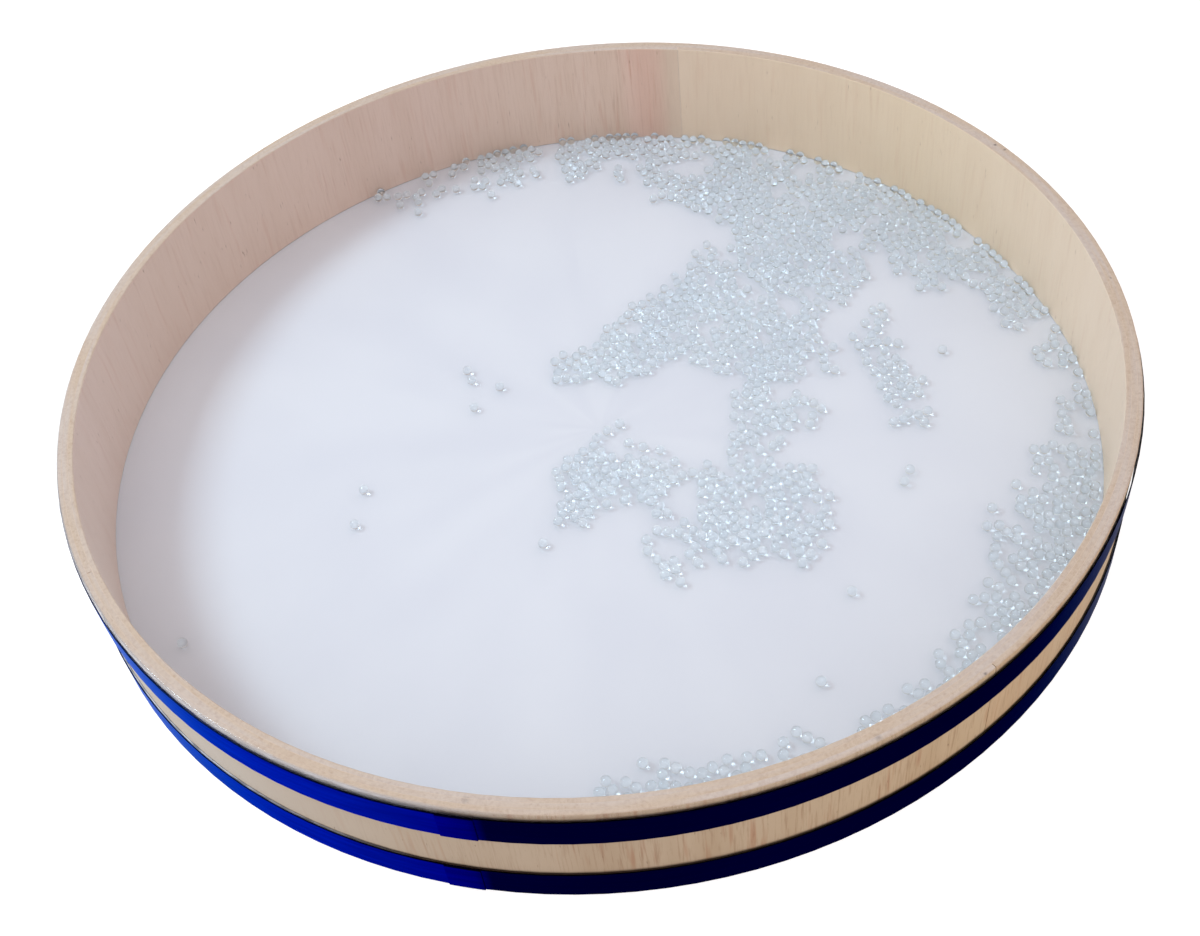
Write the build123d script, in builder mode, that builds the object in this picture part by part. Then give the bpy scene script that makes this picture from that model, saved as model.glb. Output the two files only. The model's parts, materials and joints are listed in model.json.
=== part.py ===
from build123d import *
import math
import os
import random

# Ocean drum: a bent plywood hoop, a clear head over a white head, and loose clear beads between them.
# Millimetres, +Z up, origin at the middle of the white head's underside.

# Hoop
hoop_diameter = 406.0
hoop_height = 50.0
hoop_wall = 6.0
ply_glue_line = 0.1
rim_outer_round = 0.8
rim_inner_round = 0.5

# Each veneer is one bent strip that meets itself at a butt seam
seam_gap = 0.3
inner_seam_azimuth = 72.6
core_seam_azimuth = 205.0
outer_seam_azimuth = -56.8

# Heads: stretched film folded down over the hoop's outer edge
film_thickness = 0.3
head_clearance = 0.1
fold_clearance = 0.15
upper_fold_height = 14.5
lower_fold_height = 13.3

# The lower fold was trimmed by hand, on a slant that leaves it higher on the left
lower_fold_slant = 2.1
lower_fold_high_azimuth = -160.0

# Coloured tape wound once round the hoop, over each fold
tape_width = 12.7
tape_thickness = 0.35
tape_clearance = 0.1
upper_tape_below_rim = 3.3
lower_tape_above_edge = 1.0
tape_lap_length = 12.0
upper_lap_azimuth = -108.4
lower_lap_azimuth = -109.1

# Loose beads
bead_diameter = 4.0
bead_spacing = 0.12
bead_pitch = 4.7
bead_jitter = 2.35
bead_lift = 0.25
bead_wall_gap = 0.4
drift_edge_scatter = 4.0
bare_spot_count = 300
bare_spot_least_radius = 3.0
bare_spot_most_radius = 6.5
settling_rounds = 40
bead_seed = 7

# Single beads that roll clear of the rest
stray_travel = 10.0
stray_roll_azimuth = -10.0

# Derived sizes
hoop_radius = hoop_diameter / 2
chamber_radius = hoop_radius - hoop_wall
ply_thickness = (hoop_wall - 2 * ply_glue_line) / 3
ply_step = ply_thickness + ply_glue_line
hoop_bottom = film_thickness + head_clearance
hoop_top = hoop_bottom + hoop_height
overall_height = hoop_top + head_clearance + film_thickness
fold_inner_radius = hoop_radius + fold_clearance
fold_outer_radius = fold_inner_radius + film_thickness
fold_inner_bend = rim_outer_round + fold_clearance
fold_outer_bend = fold_inner_bend + film_thickness
tape_inner_radius = fold_outer_radius + tape_clearance
upper_tape_bottom = hoop_top - upper_tape_below_rim - tape_width
lower_tape_bottom = hoop_bottom + lower_tape_above_edge
bead_radius = bead_diameter / 2
bead_height = film_thickness + bead_lift + bead_radius
bead_reach = chamber_radius - bead_wall_gap - bead_radius
bead_least_apart = bead_diameter + bead_spacing

os.makedirs("parts", exist_ok=True)


def at_azimuth(azimuth):
    """The upright plane that holds the drum's axis and looks along an azimuth."""
    return Plane.XZ.rotated((0, 0, azimuth))


def polar(radius, azimuth):
    """The point at a distance and an azimuth from the drum's axis."""
    return radius * math.cos(math.radians(azimuth)), radius * math.sin(math.radians(azimuth))


# Hoop: three bent veneers, glued with their seams apart
veneers = (
    ("hoop_inner_ply", inner_seam_azimuth, rim_inner_round, 0),
    ("hoop_core_ply", core_seam_azimuth, 0, 0),
    ("hoop_outer_ply", outer_seam_azimuth, 0, rim_outer_round),
)
for layer, (name, seam_azimuth, inner_round, outer_round) in enumerate(veneers):
    ply_radius = chamber_radius + layer * ply_step
    seam_angle = math.degrees(seam_gap / ply_radius)
    with BuildPart() as ply:
        with BuildSketch(at_azimuth(seam_azimuth + seam_angle / 2)):
            with Locations((ply_radius, hoop_bottom)):
                Rectangle(ply_thickness, hoop_height, align=(Align.MIN, Align.MIN))
            if inner_round:
                fillet(vertices().group_by(Axis.X)[0], radius=inner_round)
            if outer_round:
                fillet(vertices().group_by(Axis.X)[-1], radius=outer_round)
        revolve(axis=Axis.Z, revolution_arc=360 - seam_angle)
    ply.part.label = name
    export_step(ply.part, f"parts/{name}.step")

# Heads: a flat film over each edge of the hoop, with its border folded along the outside
upside_down = Plane((0, 0, overall_height), x_dir=(1, 0, 0), z_dir=(0, 1, 0))
heads = (
    ("bottom_head", Plane.XZ, lower_fold_height, lower_fold_slant),
    ("top_head", upside_down, upper_fold_height, 0),
)
for name, plane, fold_height, slant in heads:
    with BuildPart() as head:
        with BuildSketch(plane):
            Rectangle(fold_outer_radius, film_thickness, align=(Align.MIN, Align.MIN))
            with Locations((fold_inner_radius, 0)):
                Rectangle(film_thickness, fold_height + slant, align=(Align.MIN, Align.MIN))
            fold_corner = vertices().group_by(Axis.X)[-1].sort_by(Axis.Y)[0]
            fillet(fold_corner, radius=fold_outer_bend)
            fold_corner = vertices().sort_by_distance((fold_inner_radius, film_thickness))[0]
            fillet(fold_corner, radius=fold_inner_bend)
        revolve(axis=Axis.Z)
        if slant:
            rise_x, rise_y = polar(slant / fold_outer_radius, lower_fold_high_azimuth)
            trim = Plane((0, 0, fold_height), z_dir=(-rise_x, -rise_y, 1))
            split(bisect_by=trim, keep=Keep.BOTTOM)
    head.part.label = name
    export_step(head.part, f"parts/{name}.step")

# Tape bands: one turn each, with the end lapped over the start
lap_angle = math.degrees(tape_lap_length / tape_inner_radius)
bands = (
    ("upper_band", upper_tape_bottom, upper_lap_azimuth),
    ("lower_band", lower_tape_bottom, lower_lap_azimuth),
)
for name, band_bottom, lap_azimuth in bands:
    with BuildPart() as band:
        with BuildSketch(at_azimuth(lap_azimuth)):
            with Locations((tape_inner_radius, band_bottom)):
                Rectangle(tape_thickness, tape_width, align=(Align.MIN, Align.MIN))
        revolve(axis=Axis.Z)
        with BuildSketch(at_azimuth(lap_azimuth)):
            with Locations((tape_inner_radius, band_bottom)):
                Rectangle(2 * tape_thickness, tape_width, align=(Align.MIN, Align.MIN))
        revolve(axis=Axis.Z, revolution_arc=lap_angle)
    band.part.label = name
    export_step(band.part, f"parts/{name}.step")

# One bead, standing on the white head at the drum's middle
with BuildPart() as bead:
    with Locations((0, 0, bead_height)):
        Sphere(bead_radius)

# Where the beads lie. A bank hugs the wall: its first and last azimuth, and its depth from the wall.
# A drift lies free on the head: its outline. Each has a share of its places filled.
banks = (
    ("tail_beads", 119.0, 102.0, 26.0, 0.42),
    ("back_bank_beads", 104.0, 82.0, 30.0, 0.85),
    ("back_bank_beads", 82.0, 66.0, 36.0, 0.92),
    ("back_bank_beads", 66.0, 26.0, 44.0, 0.94),
    ("back_bank_beads", 26.0, 9.0, 22.0, 0.85),
    ("right_bank_beads", 7.0, -12.0, 14.0, 0.55),
    ("right_bank_beads", -12.0, -22.0, 24.0, 0.85),
    ("right_bank_beads", -22.0, -34.0, 38.0, 0.85),
    ("front_right_bank_beads", -34.0, -50.0, 30.0, 0.85),
    ("front_right_bank_beads", -50.0, -64.5, 27.0, 0.85),
    ("front_bank_beads", -69.0, -83.0, 35.0, 0.7),
    ("front_bank_beads", -83.0, -98.0, 36.0, 0.7),
)
arm_outline = (
    (-18, 27), (-14, 42), (6, 52), (14, 64), (40, 84), (67, 108), (62, 126), (36, 145), (42, 162),
    (100, 140), (146, 96), (166, 72), (158, 46), (147, 60), (136, 78), (122, 68), (106, 54),
    (97, 40), (101, 16), (84, 14), (60, 19), (34, 31), (8, 22),
)
centre_outline = (
    (-25, -48), (-20, -28), (-8, -3), (6, 0), (16, -14), (32, -27), (46, -29), (58, -12), (55, 4),
    (64, 16), (83, 11), (88, -5), (76, -24), (80, -44), (84, -62), (70, -81), (52, -82),
    (36, -76), (20, -85), (10, -67), (19, -52), (0, -42), (-14, -50),
)
islet_outline = (
    (111, 35), (119, 52), (128, 50), (135, 31), (127, 15), (136, 1), (126, -18), (117, -20), (116, 0), (110, 15),
)
drifts = (
    ("arm_drift_beads", arm_outline, 0.92),
    ("centre_drift_beads", centre_outline, 0.85),
    ("islet_beads", islet_outline, 0.7),
)

# Each stray bead's distance from the axis and its azimuth
strays = (
    (106, -160), (98, -169), (67, 141.5), (62, 145), (49, 143), (54, 159), (64, -115),
    (150, -64.5), (129, -50), (125, -21), (124, -24), (146, 7), (183, -153), (170, 115),
)


def within(outline, x, y):
    """Whether a point lies inside a closed outline."""
    inside = False
    for (ax, ay), (bx, by) in zip(outline, outline[1:] + outline[:1]):
        if (ay > y) != (by > y) and x < ax + (y - ay) / (by - ay) * (bx - ax):
            inside = not inside
    return inside


def heap_at(x, y):
    """The bank or drift that covers a point, with the share of its places that are filled."""
    azimuth = math.degrees(math.atan2(y, x))
    from_wall = chamber_radius - math.hypot(x, y)
    for name, first, last, depth, filled in banks:
        if last <= azimuth <= first and from_wall <= depth:
            return name, filled
    for name, outline, filled in drifts:
        if within(outline, x, y):
            return name, filled
    return None, 0


def scatter():
    """Loose places for beads in every bank and drift, with the heap that each belongs to."""
    rows = int(chamber_radius / (bead_pitch * math.sqrt(3) / 2)) + 1
    columns = int(chamber_radius / bead_pitch) + 1
    bare_spots = []
    for _ in range(bare_spot_count):
        spot_x = random.uniform(-chamber_radius, chamber_radius)
        spot_y = random.uniform(-chamber_radius, chamber_radius)
        bare_spots.append((spot_x, spot_y, random.uniform(bare_spot_least_radius, bare_spot_most_radius)))
    placed = []
    for row in range(-rows, rows + 1):
        for column in range(-columns, columns + 1):
            x = (column + 0.5 * (row % 2)) * bead_pitch + random.uniform(-bead_jitter, bead_jitter)
            y = row * bead_pitch * math.sqrt(3) / 2 + random.uniform(-bead_jitter, bead_jitter)
            edge_x = x + random.uniform(-drift_edge_scatter, drift_edge_scatter)
            edge_y = y + random.uniform(-drift_edge_scatter, drift_edge_scatter)
            name, filled = heap_at(edge_x, edge_y)
            bare = any(math.hypot(x - spot_x, y - spot_y) < spot for spot_x, spot_y, spot in bare_spots)
            if name and not bare and random.random() < filled and math.hypot(x, y) < chamber_radius:
                placed.append([x, y, name])
    return placed


def neighbours(placed):
    """Every pair of beads that may touch."""
    cells = {}
    for place in placed:
        cells.setdefault((place[0] // bead_pitch, place[1] // bead_pitch), []).append(place)
    ahead = ((0, 0), (1, 0), (-1, 1), (0, 1), (1, 1))
    for (column, row), here in cells.items():
        for step_x, step_y in ahead:
            for number, one in enumerate(here):
                others = cells.get((column + step_x, row + step_y), [])
                for other in others[number + 1:] if (step_x, step_y) == (0, 0) else others:
                    yield one, other


def settle(placed):
    """Pushes beads that crowd each other apart, and back from the wall."""
    for _ in range(settling_rounds):
        for one, other in neighbours(placed):
            apart_x, apart_y = other[0] - one[0], other[1] - one[1]
            apart = math.hypot(apart_x, apart_y)
            if 0 < apart < bead_least_apart:
                push = (bead_least_apart - apart) / apart / 2
                one[0] -= push * apart_x
                one[1] -= push * apart_y
                other[0] += push * apart_x
                other[1] += push * apart_y
        for place in placed:
            inward = bead_reach / max(bead_reach, math.hypot(place[0], place[1]))
            place[0] *= inward
            place[1] *= inward


def from_track(x, y, track):
    """A point's distance from the straight line that a stray bead rolls along."""
    (ax, ay), (bx, by) = track
    along = ((x - ax) * (bx - ax) + (y - ay) * (by - ay)) / ((bx - ax) ** 2 + (by - ay) ** 2)
    along = min(max(along, 0), 1)
    return math.hypot(x - ax - along * (bx - ax), y - ay - along * (by - ay))


# Stray beads: each is a piece of its own, with a clear track to roll along
roll_x, roll_y = polar(stray_travel, stray_roll_azimuth)
tracks = []
for number, (radius, azimuth) in enumerate(strays, start=1):
    x, y = polar(min(radius, bead_reach - stray_travel), azimuth)
    tracks.append(((x - roll_x, y - roll_y), (x + roll_x, y + roll_y)))
    stray = bead.part.moved(Location((x, y, 0)))
    stray.label = f"stray_bead_{number}"
    export_step(stray, f"parts/{stray.label}.step")

# Banks and drifts: scattered places that settle, less any bead still crowded or on a stray's track
random.seed(bead_seed)
places = scatter()
settle(places)
crowded = set()
for one, other in neighbours(places):
    if math.dist(one[:2], other[:2]) < bead_least_apart - bead_spacing / 2 and id(one) not in crowded:
        crowded.add(id(other))
heaps = {}
for place in places:
    x, y, name = place
    clear = all(from_track(x, y, track) >= bead_least_apart for track in tracks)
    if clear and id(place) not in crowded:
        heaps.setdefault(name, []).append((x, y))
for name, centres in sorted(heaps.items()):
    heap = Compound([bead.part.solid().moved(Location((x, y, 0))) for x, y in centres])
    heap.label = name
    export_step(heap, f"parts/{name}.step")
    print(name, len(centres), "beads")
print(sum(map(len, heaps.values())), "beads in heaps,", len(strays), "stray beads")
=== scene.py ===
import json
import math
import bpy
from mathutils import Matrix, Vector


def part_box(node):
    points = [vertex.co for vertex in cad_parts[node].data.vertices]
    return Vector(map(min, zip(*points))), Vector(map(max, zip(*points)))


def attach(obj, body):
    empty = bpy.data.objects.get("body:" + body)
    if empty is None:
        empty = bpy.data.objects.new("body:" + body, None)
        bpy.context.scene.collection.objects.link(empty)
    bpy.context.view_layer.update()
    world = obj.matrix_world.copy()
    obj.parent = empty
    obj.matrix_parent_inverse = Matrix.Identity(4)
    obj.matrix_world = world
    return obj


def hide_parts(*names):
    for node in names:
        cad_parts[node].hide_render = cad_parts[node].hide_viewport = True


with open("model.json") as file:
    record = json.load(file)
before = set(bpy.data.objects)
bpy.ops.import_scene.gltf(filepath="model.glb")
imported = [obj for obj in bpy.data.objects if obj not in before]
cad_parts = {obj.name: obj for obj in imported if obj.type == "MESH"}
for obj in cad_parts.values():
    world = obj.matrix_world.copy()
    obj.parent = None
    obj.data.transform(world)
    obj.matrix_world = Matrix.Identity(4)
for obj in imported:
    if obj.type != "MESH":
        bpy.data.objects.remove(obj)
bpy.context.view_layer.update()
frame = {"nodes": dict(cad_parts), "record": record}
nodes = frame["nodes"]
scene = bpy.context.scene
scene.view_settings.view_transform = "Standard"

MM = 0.001

# The drum's own sizes, read from the frame
hoop_low, hoop_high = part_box("hoop_outer_ply")
HOOP_TOP = hoop_high[2]
HOOP_RADIUS = (hoop_high[0] - hoop_low[0]) / 2
BEAD_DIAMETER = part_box("stray_bead_1")[1][2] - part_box("stray_bead_1")[0][2]
BAND_TOPS = {band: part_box(band)[1][2] for band in ("upper_band", "lower_band")}

# Azimuth, in degrees, of the free end of each band's tape, and the share of a turn that its lap takes
TAPE_ENDS = {"upper_band": -108.4, "lower_band": -109.1}
LAP_SHARE = 12 * MM / (math.tau * HOOP_RADIUS)

# Azimuth, in degrees, that stands for the start of a turn where a finish has no seam
BACK_OF_DRUM = 90

# Heights between which painted shade darkens the white film's trimmed edge, where the lower tape nearly hides
# it
FOLD_EDGE_SHADE_FROM = 11.5 * MM
FOLD_EDGE_SHADE_TO = 12.5 * MM

# Height of the painted shade on the wood above each tape's top edge, and the share of light that the flat
# clear film stops
TAPE_EDGE_SHADE_HEIGHT = 1.3 * MM
FILM_HAZE = 0.022

# Each veneer: the azimuth of its seam, in degrees, and then, along its length from the seam and
# counter-clockwise, its tones, which carry painted light and shade as well as the wood's own colour, and how
# strongly its grain lines show
VENEERS = {
    "hoop_inner_ply": {
        "seam": 72.6,
        "tones": [
            (0.000, "#d6c2ad"), (0.005, "#d2bda9"), (0.009, "#d6b6a5"), (0.017, "#d8b8a8"),
            (0.024, "#d9c3b3"), (0.060, "#d5c0b1"), (0.100, "#d1baad"), (0.220, "#d3bdaf"),
            (0.300, "#dcc8bd"), (0.360, "#dccabe"), (0.500, "#dacab8"), (0.800, "#ebdac4"),
            (0.900, "#e6d4b8"), (1.000, "#decbb4"),
        ],
        "lines": [
            (0.00, "#585858"), (0.02, "#b8b8b8"), (0.06, "#909090"), (0.35, "#707070"), (0.78, "#686868"),
            (1.00, "#686868"),
        ],
    },
    "hoop_core_ply": {
        "seam": 205.0,
        "tones": [(0.00, "#d3c0a9"), (1.00, "#d3c0a9")],
        "lines": [(0.00, "#808080"), (1.00, "#808080")],
    },
    "hoop_outer_ply": {
        "seam": -56.8,
        "tones": [
            (0.00, "#ccb08c"), (0.16, "#cdb595"), (0.42, "#cdb89c"), (0.66, "#ccc0b0"),
            (0.79, "#c6bdb0"), (0.85, "#bcab96"), (0.90, "#baa68e"), (0.95, "#c3ad90"),
            (1.00, "#ccb390"),
        ],
        "lines": [
            (0.00, "#c8c8c8"), (0.12, "#808080"), (0.60, "#606060"), (0.82, "#606060"), (0.90, "#e0e0e0"),
            (1.00, "#e0e0e0"),
        ],
    },
}

# Small nicks and smudges on the rim: azimuth in degrees, distance from the axis and length in millimetres,
# and how dark each is
RIM_NICKS = [
    (25.6, 200.2, 1.8, 0.7), (24.2, 201.1, 1.6, 0.7), (-1.0, 200.5, 1.2, 0.5),
    (-58.0, 202.4, 1.6, 0.6), (-69.6, 201.6, 3.2, 0.3), (-105.8, 199.5, 3.2, 0.25),
]

# Camera: fitted to the photograph's rim, head and foot circles, looking along +Y and down
CAMERA_PITCH = math.radians(47.81)
CAMERA_ROLL = math.radians(-7.37)
CAMERA_DISTANCE = 580.0 * MM
CAMERA_RIGHT = 4.5 * MM
CAMERA_UP = -49.3 * MM
FOCAL_LENGTH_MM = 45.48
SENSOR_WIDTH_MM = 36.0

# Light: a window high on the left, whose direction is that of the wall's soft shadow on the head, and the
# room's weaker light from the front; azimuth and elevation in degrees, distance and size in metres
LAMPS = {
    "window_left": {
        "azimuth": 168, "elevation": 50.5, "distance": 1.6, "size": 0.45, "watts": 11.3, "colour": "#ddf4ff",
    },
    "room_front": {
        "azimuth": -90, "elevation": 40, "distance": 1.8, "size": 1.2, "watts": 6.1, "colour": "#fff8f2",
    },
}
FILL_COLOUR = "#fff5f4"
FILL_STRENGTH = 0.8

# Floor: its half width and how far it lies under the drum, in metres, and the glow that takes it to white
FLOOR_REACH = 8.0
FLOOR_BELOW = 0.2 * MM
FLOOR_GLOW = 0.7

# Glue between the veneers: its thickness, how far it lies below the rim and soaks into the wood, and the
# steps round its ring
GLUE_LINE = 0.1 * MM
GLUE_BELOW_RIM = 0.04 * MM
GLUE_SOAK = 0.2 * MM
RING_STEPS = 360

# Filler in the inner veneer's seam: its width, and how far it lies below the wood round it
SEAM_FILL_WIDTH = 0.5 * MM
SEAM_FILL_DEPTH = 0.05 * MM

# Beads: subdivisions of one bead, how far apart two vertices of one CAD facet corner may lie, and the seed of
# the beads' turns
BEAD_SUBDIVISIONS = 2
WELD_DISTANCE = 0.002 * MM
BEAD_TURN_SEED = 11


def linear(hex_colour):
    """A linear RGBA colour from an sRGB hex value."""
    shares = [int(hex_colour[i:i + 2], 16) / 255 for i in (1, 3, 5)]
    return [s / 12.92 if s <= 0.04045 else ((s + 0.055) / 1.055) ** 2.4 for s in shares] + [1.0]


def add(tree, kind, sockets=None, stops=(), **settings):
    """Adds a node with its settings; inputs take values, sockets or nodes, and a ramp takes stops."""
    made = tree.nodes.new(kind)
    for name, value in settings.items():
        setattr(made, name, value)
    for i, (place, hex_colour) in enumerate(stops):
        elements = made.color_ramp.elements
        element = elements[i] if i < len(elements) else elements.new(1.0)
        element.position = place
        element.color = linear(hex_colour)
    for key, value in (sockets or {}).items():
        named = [s for s in made.inputs if s.enabled and s.name == key]
        socket = named[0] if named else made.inputs[key]
        if isinstance(value, bpy.types.Node):
            value = next(s for s in value.outputs if s.enabled)
        if isinstance(value, bpy.types.NodeSocket):
            tree.links.new(value, socket)
        else:
            socket.default_value = value
    return made


def new_material(name):
    """An empty material and its node tree."""
    material = bpy.data.materials.new(name)
    material.use_nodes = True
    material.node_tree.nodes.clear()
    return material, material.node_tree


def round_the_hoop(tree, start):
    """The share of a turn from a start azimuth, the distance from the axis, the height, and all in one."""
    place = add(tree, "ShaderNodeTexCoord").outputs["Object"]
    turn = (0, 0, math.pi - math.radians(start))
    turned = add(tree, "ShaderNodeMapping", {"Vector": place, "Rotation": turn})
    parts = add(tree, "ShaderNodeSeparateXYZ", {0: turned}).outputs
    angle = add(tree, "ShaderNodeMath", {0: parts["Y"], 1: parts["X"]}, operation="ARCTAN2")
    share = add(tree, "ShaderNodeMath", {0: angle, 1: 1 / math.tau, 2: 0.5}, operation="MULTIPLY_ADD")
    arc = add(tree, "ShaderNodeMath", {0: angle, 1: HOOP_RADIUS}, operation="MULTIPLY")
    flat = add(tree, "ShaderNodeVectorMath", {0: turned, 1: (1, 1, 0)}, operation="MULTIPLY")
    radius = add(tree, "ShaderNodeVectorMath", {0: flat}, operation="LENGTH")
    unrolled = add(tree, "ShaderNodeCombineXYZ", {"X": arc, "Y": parts["Z"], "Z": radius})
    return share, radius, parts["Z"], unrolled


def streaks(tree, unrolled, sizes, **look):
    """A pattern whose features have these sizes, in metres, round the hoop, up it and through it."""
    scaled = add(tree, "ShaderNodeVectorMath", {0: unrolled, 1: sizes}, operation="DIVIDE")
    return add(tree, "ShaderNodeTexNoise", {"Vector": scaled, "Scale": 1.0, **look})


def birch_veneer(name, seam, tones, lines):
    """Birch veneer, sliced and sanded, bare: fine upright fibres, some reddish streaks, a plain pale edge;
    tones round the hoop that carry painted light and shade, and on the outer veneer a painted shade above
    each tape.
    """
    material, tree = new_material(name)
    share, _, height, unrolled = round_the_hoop(tree, seam)
    # Tones round the hoop: the wood's own colour with painted light and shade mixed in
    tone = add(tree, "ShaderNodeValToRGB", {"Fac": share}, stops=tones)
    strength = add(tree, "ShaderNodeValToRGB", {"Fac": share}, stops=lines)

    # Growth bands, fibres, reddish streaks and short dark pores, from the broadest to the finest
    bands = streaks(tree, unrolled, (13 * MM, 220 * MM, 9 * MM), Detail=2.0)
    shade = add(tree, "ShaderNodeValToRGB", {"Fac": bands}, stops=[(0.30, "#efe8e0"), (0.62, "#ffffff")])
    face = add(
        tree, "ShaderNodeMix", {"Factor": strength, "A": tone, "B": shade},
        data_type="RGBA", blend_type="MULTIPLY",
    )
    fibres = streaks(tree, unrolled, (0.7 * MM, 16 * MM, 2 * MM), Detail=3.0, Roughness=0.6)
    shade = add(tree, "ShaderNodeValToRGB", {"Fac": fibres}, stops=[(0.30, "#cdb4a2"), (0.50, "#ffffff")])
    amount = add(tree, "ShaderNodeMath", {0: strength, 1: 0.75}, operation="MULTIPLY")
    face = add(
        tree, "ShaderNodeMix", {"Factor": amount, "A": face, "B": shade},
        data_type="RGBA", blend_type="MULTIPLY",
    )
    reds = streaks(tree, unrolled, (1.8 * MM, 30 * MM, 3 * MM), Detail=1.0)
    shade = add(tree, "ShaderNodeValToRGB", {"Fac": reds}, stops=[(0.60, "#ffffff"), (0.76, "#e4b8a4")])
    face = add(
        tree, "ShaderNodeMix", {"Factor": amount, "A": face, "B": shade},
        data_type="RGBA", blend_type="MULTIPLY",
    )
    pores = streaks(tree, unrolled, (0.7 * MM, 5 * MM, 2 * MM), Detail=1.0)
    shade = add(tree, "ShaderNodeValToRGB", {"Fac": pores}, stops=[(0.75, "#ffffff"), (0.82, "#8a6a55")])
    face = add(
        tree, "ShaderNodeMix", {"Factor": 0.7, "A": face, "B": shade},
        data_type="RGBA", blend_type="MULTIPLY",
    )

    # Painted shade: a dark band on the outside just above the top edge of each tape
    if name.endswith("hoop_outer_ply"):
        for top in BAND_TOPS.values():
            near = add(tree, "ShaderNodeMath", {0: height, 1: top, 2: TAPE_EDGE_SHADE_HEIGHT}, operation="COMPARE")
            above = add(tree, "ShaderNodeMath", {0: height, 1: top}, operation="SUBTRACT")
            fade = add(
                tree, "ShaderNodeMapRange",
                {"Value": above, "From Max": TAPE_EDGE_SHADE_HEIGHT, "To Min": 0.85, "To Max": 0.0},
            )
            edge_shade = add(tree, "ShaderNodeMath", {0: fade, 1: near}, operation="MULTIPLY")
            face = add(
                tree, "ShaderNodeMix", {"Factor": edge_shade, "A": face, "B": linear("#2b1d15")}, data_type="RGBA",
            )

    # The sanded edge on the rim: nearly even, with faint end grain, tan in places, and a few nicks
    grain = streaks(tree, unrolled, (1.1 * MM, 6 * MM, 1.2 * MM), Detail=3.0, Roughness=0.6)
    edge = add(
        tree, "ShaderNodeValToRGB", {"Fac": grain},
        stops=[(0.25, "#b5a499"), (0.50, "#c1b4aa"), (0.78, "#c8bcb2")],
    )
    tan = streaks(tree, unrolled, (45 * MM, 45 * MM, 4 * MM), Detail=1.0)
    shade = add(tree, "ShaderNodeValToRGB", {"Fac": tan}, stops=[(0.38, "#ffffff"), (0.62, "#fef6e8")])
    edge = add(
        tree, "ShaderNodeMix", {"Factor": 1.0, "A": edge, "B": shade},
        data_type="RGBA", blend_type="MULTIPLY",
    )
    spot = add(tree, "ShaderNodeTexCoord").outputs["Object"]
    for azimuth, distance, length, depth in RIM_NICKS:
        turn = math.radians(azimuth)
        place = (distance * MM * math.cos(turn), distance * MM * math.sin(turn), HOOP_TOP)
        away = add(tree, "ShaderNodeVectorMath", {0: spot, 1: place}, operation="DISTANCE")
        mark = add(
            tree, "ShaderNodeMapRange",
            {
                "Value": away, "From Min": length / 8 * MM, "From Max": length / 2 * MM,
                "To Min": depth, "To Max": 0.0,
            },
        )
        edge = add(
            tree, "ShaderNodeMix", {"Factor": mark, "A": edge, "B": linear("#3a3238")}, data_type="RGBA",
        )
    normal = add(tree, "ShaderNodeNewGeometry").outputs["Normal"]
    upward = add(tree, "ShaderNodeSeparateXYZ", {0: normal}).outputs["Z"]
    level = add(tree, "ShaderNodeMath", {0: upward}, operation="ABSOLUTE")
    on_edge = add(
        tree, "ShaderNodeMapRange", {"Value": level, "From Min": 0.35, "From Max": 0.85},
        interpolation_type="SMOOTHSTEP",
    )
    colour = add(tree, "ShaderNodeMix", {"Factor": on_edge, "A": face, "B": edge}, data_type="RGBA")
    bump = add(tree, "ShaderNodeBump", {"Strength": 0.3, "Distance": 0.06 * MM, "Height": fibres})
    rough = add(tree, "ShaderNodeMapRange", {"Value": fibres, "To Min": 0.55, "To Max": 0.7})
    shader = add(
        tree, "ShaderNodeBsdfPrincipled",
        {"Base Color": colour, "Roughness": rough, "Normal": bump, "Specular IOR Level": 0.25},
    )
    add(tree, "ShaderNodeOutputMaterial", {"Surface": shader})
    return material


def white_film():
    """White polyester film, rolled smooth: an even cool white, crinkled where it folds up, with painted grey
    shade in the crinkles there and a painted dark shade along its trimmed edge.
    """
    material, tree = new_material("white_polyester_film")
    share, radius, height, unrolled = round_the_hoop(tree, BACK_OF_DRUM)
    folded = add(
        tree, "ShaderNodeMapRange",
        {"Value": radius, "From Min": HOOP_RADIUS - 1.0 * MM, "From Max": HOOP_RADIUS},
    )
    waves = streaks(tree, unrolled, (70 * MM, 70 * MM, 70 * MM), Detail=1.0)
    flat = add(tree, "ShaderNodeValToRGB", {"Fac": waves}, stops=[(0.35, "#d2d8e3"), (0.65, "#d6dce6")])
    crinkles = streaks(tree, unrolled, (6 * MM, 1.6 * MM, 4 * MM), Detail=3.0)
    # Painted shade: the folded part greys in its crinkles
    fold = add(tree, "ShaderNodeValToRGB", {"Fac": crinkles}, stops=[(0.35, "#7f848e"), (0.62, "#d3d7e2")])
    # Painted shade along the trimmed edge just above the lower tape, left off round part of the left side
    trim = add(
        tree, "ShaderNodeMapRange", {"Value": height, "From Min": FOLD_EDGE_SHADE_FROM, "From Max": FOLD_EDGE_SHADE_TO},
    )
    hidden = add(
        tree, "ShaderNodeValToRGB", {"Fac": share},
        stops=[(0.00, "#ffffff"), (0.18, "#808080"), (0.26, "#000000"), (0.36, "#000000"), (0.44, "#ffffff")],
    )
    edge_shade = add(tree, "ShaderNodeMath", {0: trim, 1: hidden}, operation="MULTIPLY")
    fold = add(tree, "ShaderNodeMix", {"Factor": edge_shade, "A": fold, "B": linear("#2b1d15")}, data_type="RGBA")
    colour = add(tree, "ShaderNodeMix", {"Factor": folded, "A": flat, "B": fold}, data_type="RGBA")
    bump = add(tree, "ShaderNodeBump", {"Strength": folded, "Distance": 0.25 * MM, "Height": crinkles})
    shader = add(
        tree, "ShaderNodeBsdfPrincipled",
        {"Base Color": colour, "Roughness": 0.38, "Normal": bump, "Specular IOR Level": 0.35},
    )
    add(tree, "ShaderNodeOutputMaterial", {"Surface": shader})
    return material


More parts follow.
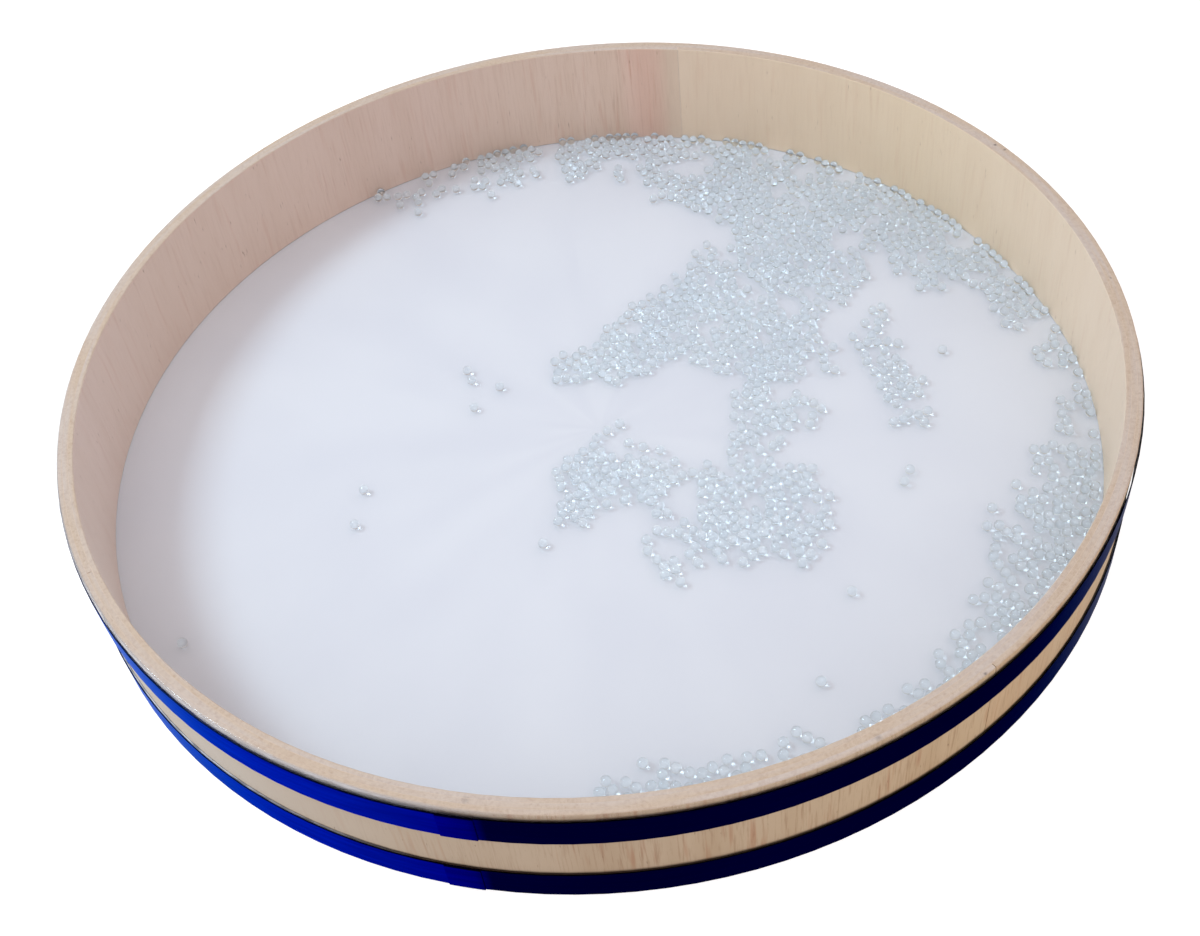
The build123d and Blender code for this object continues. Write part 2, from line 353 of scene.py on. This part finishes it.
def clear_film():
    """Clear polyester film, rolled smooth: nearly unseen over the drum, a painted pale highlight where it
    bends over the rim and a painted grey reflection where it folds down, both shown most on the front left."""
    material, tree = new_material("clear_polyester_film")
    share, radius, height, unrolled = round_the_hoop(tree, BACK_OF_DRUM)
    folded = add(
        tree, "ShaderNodeMapRange",
        {"Value": radius, "From Min": HOOP_RADIUS - 0.6 * MM, "From Max": HOOP_RADIUS + 0.1 * MM},
    )
    crinkles = streaks(tree, unrolled, (8 * MM, 1.6 * MM, 4 * MM), Detail=2.0)
    # Painted highlight and reflection: how strongly the folded film shows round the hoop, most on the front
    # left
    painted_gloss_reach = add(
        tree, "ShaderNodeValToRGB", {"Fac": share},
        stops=[
            (0.00, "#404040"), (0.20, "#606060"), (0.30, "#c0c0c0"), (0.35, "#ffffff"), (0.43, "#e0e0e0"),
            (0.47, "#303030"), (0.70, "#181818"), (1.00, "#404040"),
        ],
    )
    cloud = add(
        tree, "ShaderNodeMapRange",
        {"Value": crinkles, "From Min": 0.3, "From Max": 0.7, "To Min": 0.35, "To Max": 0.85},
    )
    veil = add(tree, "ShaderNodeMath", {0: cloud, 1: painted_gloss_reach}, operation="MULTIPLY")
    alpha = add(tree, "ShaderNodeMath", {0: veil, 1: folded, 2: FILM_HAZE}, operation="MULTIPLY_ADD")
    # Painted highlight on the bend over the rim, fading to a painted grey reflection below it
    bend = add(
        tree, "ShaderNodeMapRange",
        {"Value": height, "From Min": HOOP_TOP - 1.4 * MM, "From Max": HOOP_TOP - 0.4 * MM},
    )
    colour = add(
        tree, "ShaderNodeMix", {"Factor": bend, "A": linear("#5c5e68"), "B": linear("#cfcdd0")},
        data_type="RGBA",
    )
    bump = add(tree, "ShaderNodeBump", {"Strength": folded, "Distance": 0.25 * MM, "Height": crinkles})
    shader = add(
        tree, "ShaderNodeBsdfPrincipled",
        {
            "Base Color": colour, "Roughness": 0.08, "IOR": 1.6, "Alpha": alpha, "Normal": bump,
            "Specular IOR Level": 0.8,
        },
    )
    add(tree, "ShaderNodeOutputMaterial", {"Surface": shader})
    return material


def blue_tape(band):
    """Metallised film tape, dyed blue and pulled tight, a satin mirror all round, with painted light and
    shade:
    deep navy where it starts and round the front and right, a clear bright blue towards its end on the left,
    a reflection tint painted duller round the right, and a painted shade along its upper edge."""
    material, tree = new_material(f"blue_metallised_tape_{band}")
    share, _, height, unrolled = round_the_hoop(tree, TAPE_ENDS[band])
    # Painted light and shade: near-black navy round the front and right, bright blue on the left, a brighter
    # lap
    blue_with_painted_light = add(
        tree, "ShaderNodeValToRGB", {"Fac": share},
        stops=[
            (0.000, "#000a74"), (LAP_SHARE - 0.0005, "#00055e"), (LAP_SHARE, "#02020c"),
            (0.130, "#020214"), (0.360, "#02021c"), (0.650, "#001878"), (0.880, "#0058d2"),
            (0.930, "#0048b4"), (0.955, "#0040a6"), (0.985, "#002e8a"), (1.000, "#001e80"),
        ],
    )
    # Painted shade in the reflection's tint, duller round the right
    tint_with_painted_shade = add(
        tree, "ShaderNodeValToRGB", {"Fac": share},
        stops=[
            (0.08, "#3090d3"), (0.15, "#2468b4"), (0.20, "#204c9e"), (0.40, "#204c9e"), (0.65, "#3090d3"),
        ],
    )
    pull = streaks(tree, unrolled, (26 * MM, 1.6 * MM, 5 * MM), Detail=2.0)
    shade = add(tree, "ShaderNodeValToRGB", {"Fac": pull}, stops=[(0.30, "#d8d8d8"), (0.65, "#ffffff")])
    colour = add(
        tree, "ShaderNodeMix", {"Factor": 1.0, "A": blue_with_painted_light, "B": shade},
        data_type="RGBA", blend_type="MULTIPLY",
    )
    # Painted shade along the tape's upper edge
    top = BAND_TOPS[band]
    painted_edge_shade = add(
        tree, "ShaderNodeMapRange",
        {"Value": height, "From Min": top - 0.4 * MM, "From Max": top - 0.1 * MM, "To Max": 0.9},
    )
    colour = add(
        tree, "ShaderNodeMix", {"Factor": painted_edge_shade, "A": colour, "B": linear("#040308")}, data_type="RGBA",
    )
    bump = add(tree, "ShaderNodeBump", {"Strength": 0.25, "Distance": 0.12 * MM, "Height": pull})
    shader = add(
        tree, "ShaderNodeBsdfPrincipled",
        {
            "Base Color": colour, "Metallic": 1.0, "Roughness": 0.34, "Normal": bump,
            "Specular Tint": tint_with_painted_shade,
        },
    )
    add(tree, "ShaderNodeOutputMaterial", {"Surface": shader})
    return material


def clear_bead():
    """Clear glass bead, fire-polished: it bends the white under it, gathers the window's light into a bright
    dot, and casts only a thin shadow."""
    material, tree = new_material("clear_glass_bead")
    glass = add(
        tree, "ShaderNodeBsdfPrincipled",
        {"Base Color": linear("#e7ebed"), "Roughness": 0.02, "IOR": 1.5, "Transmission Weight": 1.0},
    )
    passed = add(tree, "ShaderNodeBsdfTransparent", {"Color": linear("#c8cbcd")})
    shadow = add(tree, "ShaderNodeLightPath").outputs["Is Shadow Ray"]
    surface = add(tree, "ShaderNodeMixShader", {0: shadow, 1: glass, 2: passed})
    add(tree, "ShaderNodeOutputMaterial", {"Surface": surface})
    return material


def bead_tree(material):
    """Geometry Nodes that put one smooth bead at the middle of every bead of a CAD node."""
    tree = bpy.data.node_groups.new("beads_where_they_lie", "GeometryNodeTree")
    face = tree.interface
    face.new_socket("Geometry", in_out="OUTPUT", socket_type="NodeSocketGeometry")
    face.new_socket("Heap", in_out="INPUT", socket_type="NodeSocketObject")
    face.new_socket("Bead Diameter", in_out="INPUT", socket_type="NodeSocketFloat")
    face.new_socket("Facet Subdivisions", in_out="INPUT", socket_type="NodeSocketInt")
    face.new_socket("Turn Seed", in_out="INPUT", socket_type="NodeSocketInt")
    given = add(tree, "NodeGroupInput").outputs

    # The middle of each bead, from the reach of its own island of facets
    heap = add(tree, "GeometryNodeObjectInfo", {"Object": given["Heap"]}).outputs["Geometry"]
    welded = add(tree, "GeometryNodeMergeByDistance", {"Geometry": heap, "Distance": WELD_DISTANCE})
    island = add(tree, "GeometryNodeInputMeshIsland").outputs["Island Index"]
    place = add(tree, "GeometryNodeInputPosition")
    reach = add(
        tree, "GeometryNodeFieldMinAndMax", {"Value": place, "Group ID": island}, data_type="FLOAT_VECTOR",
    )
    low, high = [s for s in reach.outputs if s.enabled]
    middle = add(tree, "ShaderNodeMix", {"Factor": 0.5, "A": low, "B": high}, data_type="VECTOR")
    gathered = add(tree, "GeometryNodeSetPosition", {"Geometry": welded, "Position": middle})
    centres = add(
        tree, "GeometryNodeMergeByDistance", {"Geometry": gathered, "Distance": BEAD_DIAMETER / 10},
    )

    # One round bead at each middle, turned at random so that no facets line up
    radius = add(tree, "ShaderNodeMath", {0: given["Bead Diameter"], 1: 0.5}, operation="MULTIPLY")
    ball = add(
        tree, "GeometryNodeMeshIcoSphere", {"Radius": radius, "Subdivisions": given["Facet Subdivisions"]},
    )
    turn = add(
        tree, "FunctionNodeRandomValue",
        {"Min": (0, 0, 0), "Max": (math.tau, math.tau, math.tau), "Seed": given["Turn Seed"]},
        data_type="FLOAT_VECTOR",
    )
    turned = add(tree, "FunctionNodeEulerToRotation", {0: turn})
    placed = add(
        tree, "GeometryNodeInstanceOnPoints", {"Points": centres, "Instance": ball, "Rotation": turned},
    )
    whole = add(tree, "GeometryNodeRealizeInstances", {0: placed})
    smooth = add(tree, "GeometryNodeSetShadeSmooth", {0: whole})
    coloured = add(tree, "GeometryNodeSetMaterial", {"Geometry": smooth, "Material": material})
    add(tree, "NodeGroupOutput", {0: coloured})
    return tree


def baked_beads(tree, node):
    """One plain mesh of smooth beads for a CAD node of beads."""
    carrier = bpy.data.objects.new(f"{node}_carrier", bpy.data.meshes.new(f"{node}_carrier"))
    scene.collection.objects.link(carrier)
    modifier = carrier.modifiers.new("beads", "NODES")
    modifier.node_group = tree
    values = {
        "Heap": nodes[node], "Bead Diameter": BEAD_DIAMETER,
        "Facet Subdivisions": BEAD_SUBDIVISIONS, "Turn Seed": BEAD_TURN_SEED,
    }
    for item in tree.interface.items_tree:
        if item.in_out == "INPUT":
            modifier[item.identifier] = values[item.name]
    evaluated = carrier.evaluated_get(bpy.context.evaluated_depsgraph_get())
    mesh = bpy.data.meshes.new_from_object(evaluated)
    bpy.data.objects.remove(carrier)
    piece = bpy.data.objects.new(f"{node}_glass", mesh)
    scene.collection.objects.link(piece)
    return piece


def wood_glue():
    """Wood glue, squeezed out and sanded flush: a thin line close to the shade of the veneers beside it."""
    material, tree = new_material("cured_wood_glue")
    unrolled = round_the_hoop(tree, BACK_OF_DRUM)[-1]
    drips = streaks(tree, unrolled, (3 * MM, 3 * MM, 3 * MM), Detail=2.0)
    colour = add(tree, "ShaderNodeValToRGB", {"Fac": drips}, stops=[(0.35, "#c8b5a2"), (0.65, "#d4c2b0")])
    shader = add(
        tree, "ShaderNodeBsdfPrincipled",
        {"Base Color": colour, "Roughness": 0.5, "IOR": 1.48, "Specular IOR Level": 0.3},
    )
    add(tree, "ShaderNodeOutputMaterial", {"Surface": shader})
    return material


def glue_line(name, inner_ply, material):
    """The ring of glue round one veneer, filling the gap to the next and soaked a little into both."""
    low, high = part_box(inner_ply)
    gap = (high[0] - low[0]) / 2
    inside, outside = gap - GLUE_SOAK, gap + GLUE_LINE + GLUE_SOAK
    bottom, top = low[2] + GLUE_BELOW_RIM, high[2] - GLUE_BELOW_RIM
    profile = [(inside, bottom), (outside, bottom), (outside, top), (inside, top)]
    points = []
    for step in range(RING_STEPS):
        turn = math.tau * step / RING_STEPS
        points += [(r * math.cos(turn), r * math.sin(turn), z) for r, z in profile]
    corners = len(profile)
    faces = []
    for step in range(RING_STEPS):
        here, there = corners * step, corners * ((step + 1) % RING_STEPS)
        for i in range(corners):
            j = (i + 1) % corners
            faces.append((here + i, there + i, there + j, here + j))
    mesh = bpy.data.meshes.new(name)
    mesh.from_pydata(points, [], faces)
    mesh.materials.append(material)
    ring = bpy.data.objects.new(name, mesh)
    scene.collection.objects.link(ring)
    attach(ring, "drum")


def seam_filler(name, inner_ply, next_ply, azimuth, material):
    """The upright strip of filler in the butt seam of the innermost veneer."""
    low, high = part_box(inner_ply)
    outside = (high[0] - low[0]) / 2
    step = (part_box(next_ply)[1][0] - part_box(next_ply)[0][0]) / 2 - outside
    inside = outside - step + GLUE_LINE + SEAM_FILL_DEPTH
    bottom, top = low[2] + SEAM_FILL_DEPTH, high[2] - SEAM_FILL_DEPTH
    turn = math.radians(azimuth)
    out = Vector((math.cos(turn), math.sin(turn), 0))
    along = Vector((-math.sin(turn), math.cos(turn), 0)) * SEAM_FILL_WIDTH / 2
    profile = ((inside, -1), (outside, -1), (outside, 1), (inside, 1))
    points = [r * out + side * along + Vector((0, 0, z)) for z in (bottom, top) for r, side in profile]
    faces = [(3, 2, 1, 0), (4, 5, 6, 7), (0, 1, 5, 4), (1, 2, 6, 5), (2, 3, 7, 6), (3, 0, 4, 7)]
    mesh = bpy.data.meshes.new(name)
    mesh.from_pydata(points, [], faces)
    mesh.materials.append(material)
    strip = bpy.data.objects.new(name, mesh)
    scene.collection.objects.link(strip)
    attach(strip, "drum")


def dress(node, material):
    """Gives a CAD node its finish."""
    slots = nodes[node].material_slots
    if not slots:
        nodes[node].data.materials.append(material)
    for slot in slots:
        slot.material = material


# Finishes on the CAD pieces
for node, veneer in VENEERS.items():
    dress(node, birch_veneer(f"birch_veneer_{node}", **veneer))
dress("bottom_head", white_film())
dress("top_head", clear_film())
for band in BAND_TOPS:
    dress(band, blue_tape(band))

# Glue that holds the three veneers together
glue = wood_glue()
glue_line("inner_glue_line", "hoop_inner_ply", glue)
glue_line("outer_glue_line", "hoop_core_ply", glue)
inner_seam = VENEERS["hoop_inner_ply"]["seam"]
seam_filler("inner_seam_filler", "hoop_inner_ply", "hoop_core_ply", inner_seam, glue)

# Smooth glass beads in place of the faceted CAD ones, each heap or stray on its own body. They gather the
# lamps' light into bright dots on the white head.
nodes["bottom_head"].cycles.is_caustics_receiver = True
tree = bead_tree(clear_bead())
for body, names in frame["record"]["behaviour"]["bodies"].items():
    for node in names:
        if "bead" in node:
            piece = baked_beads(tree, node)
            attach(piece, body)
            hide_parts(node)
            piece.cycles.is_caustics_caster = True


def background_seen(tree):
    """1 for the rays that show the background: seen straight, in a reflection or through glass."""
    path = add(tree, "ShaderNodeLightPath").outputs
    seen = add(
        tree, "ShaderNodeMath", {0: path["Is Camera Ray"], 1: path["Is Glossy Ray"]}, operation="MAXIMUM",
    )
    return add(tree, "ShaderNodeMath", {0: seen, 1: path["Is Transmission Ray"]}, operation="MAXIMUM")


def floor():
    """A plain pale floor that keeps the drum's shadow and reads as white round it."""
    signs = ((-1, -1), (1, -1), (1, 1), (-1, 1))
    corners = [(x * FLOOR_REACH, y * FLOOR_REACH, -FLOOR_BELOW) for x, y in signs]
    mesh = bpy.data.meshes.new("studio_floor")
    mesh.from_pydata(corners, [], [(0, 1, 2, 3)])
    plane = bpy.data.objects.new("studio_floor", mesh)
    scene.collection.objects.link(plane)
    material, tree = new_material("pale_studio_floor")
    glow = add(tree, "ShaderNodeMath", {0: background_seen(tree), 1: FLOOR_GLOW}, operation="MULTIPLY")
    light = add(tree, "ShaderNodeEmission", {"Color": (1, 1, 1, 1), "Strength": glow})
    paint = add(tree, "ShaderNodeBsdfDiffuse", {"Color": linear("#c9c9c9")})
    both = add(tree, "ShaderNodeAddShader", {0: paint, 1: light})
    add(tree, "ShaderNodeOutputMaterial", {"Surface": both})
    mesh.materials.append(material)


def studio_world():
    """Even studio surroundings: a soft, faintly warm fill for the drum, and white behind it."""
    world = bpy.data.worlds.new("studio")
    world.use_nodes = True
    scene.world = world
    tree = world.node_tree
    tree.nodes.clear()
    seen = background_seen(tree)
    strength = add(tree, "ShaderNodeMapRange", {"Value": seen, "To Min": FILL_STRENGTH, "To Max": 1.0})
    colour = add(
        tree, "ShaderNodeMix", {"Factor": seen, "A": linear(FILL_COLOUR), "B": (1, 1, 1, 1)},
        data_type="RGBA",
    )
    sky = add(tree, "ShaderNodeBackground", {"Color": colour, "Strength": strength})
    add(tree, "ShaderNodeOutputWorld", {"Surface": sky})


def lamp(name, azimuth, elevation, distance, size, watts, colour):
    """A soft square lamp that points at the middle of the drum and shines through its beads."""
    light = bpy.data.lights.new(name, "AREA")
    light.shape = "SQUARE"
    light.size = size
    light.energy = watts
    light.color = linear(colour)[:3]
    light.cycles.is_caustics_light = True
    made = bpy.data.objects.new(name, light)
    turn, rise = math.radians(azimuth), math.radians(elevation)
    away = Vector((math.cos(rise) * math.cos(turn), math.cos(rise) * math.sin(turn), math.sin(rise)))
    aim = (-away).to_track_quat("-Z", "Y")
    made.matrix_world = Matrix.Translation(away * distance) @ aim.to_matrix().to_4x4()
    scene.collection.objects.link(made)


def camera():
    """The photograph's camera."""
    forward = Vector((0, math.cos(CAMERA_PITCH), -math.sin(CAMERA_PITCH)))
    level = Vector((1, 0, 0))
    upright = level.cross(forward)
    right = math.cos(CAMERA_ROLL) * level + math.sin(CAMERA_ROLL) * upright
    up = math.cos(CAMERA_ROLL) * upright - math.sin(CAMERA_ROLL) * level
    eye = Vector((0, 0, HOOP_TOP)) - forward * CAMERA_DISTANCE + right * CAMERA_RIGHT + up * CAMERA_UP
    data = bpy.data.cameras.new("photograph_camera")
    data.sensor_fit = "HORIZONTAL"
    data.sensor_width = SENSOR_WIDTH_MM
    data.lens = FOCAL_LENGTH_MM
    data.clip_start = 0.01
    made = bpy.data.objects.new("photograph_camera", data)
    turn = Matrix((right, up, -forward)).transposed().to_4x4()
    made.matrix_world = Matrix.Translation(eye) @ turn
    scene.collection.objects.link(made)
    scene.camera = made


floor()
studio_world()
for name, settings in LAMPS.items():
    lamp(name, **settings)
camera()
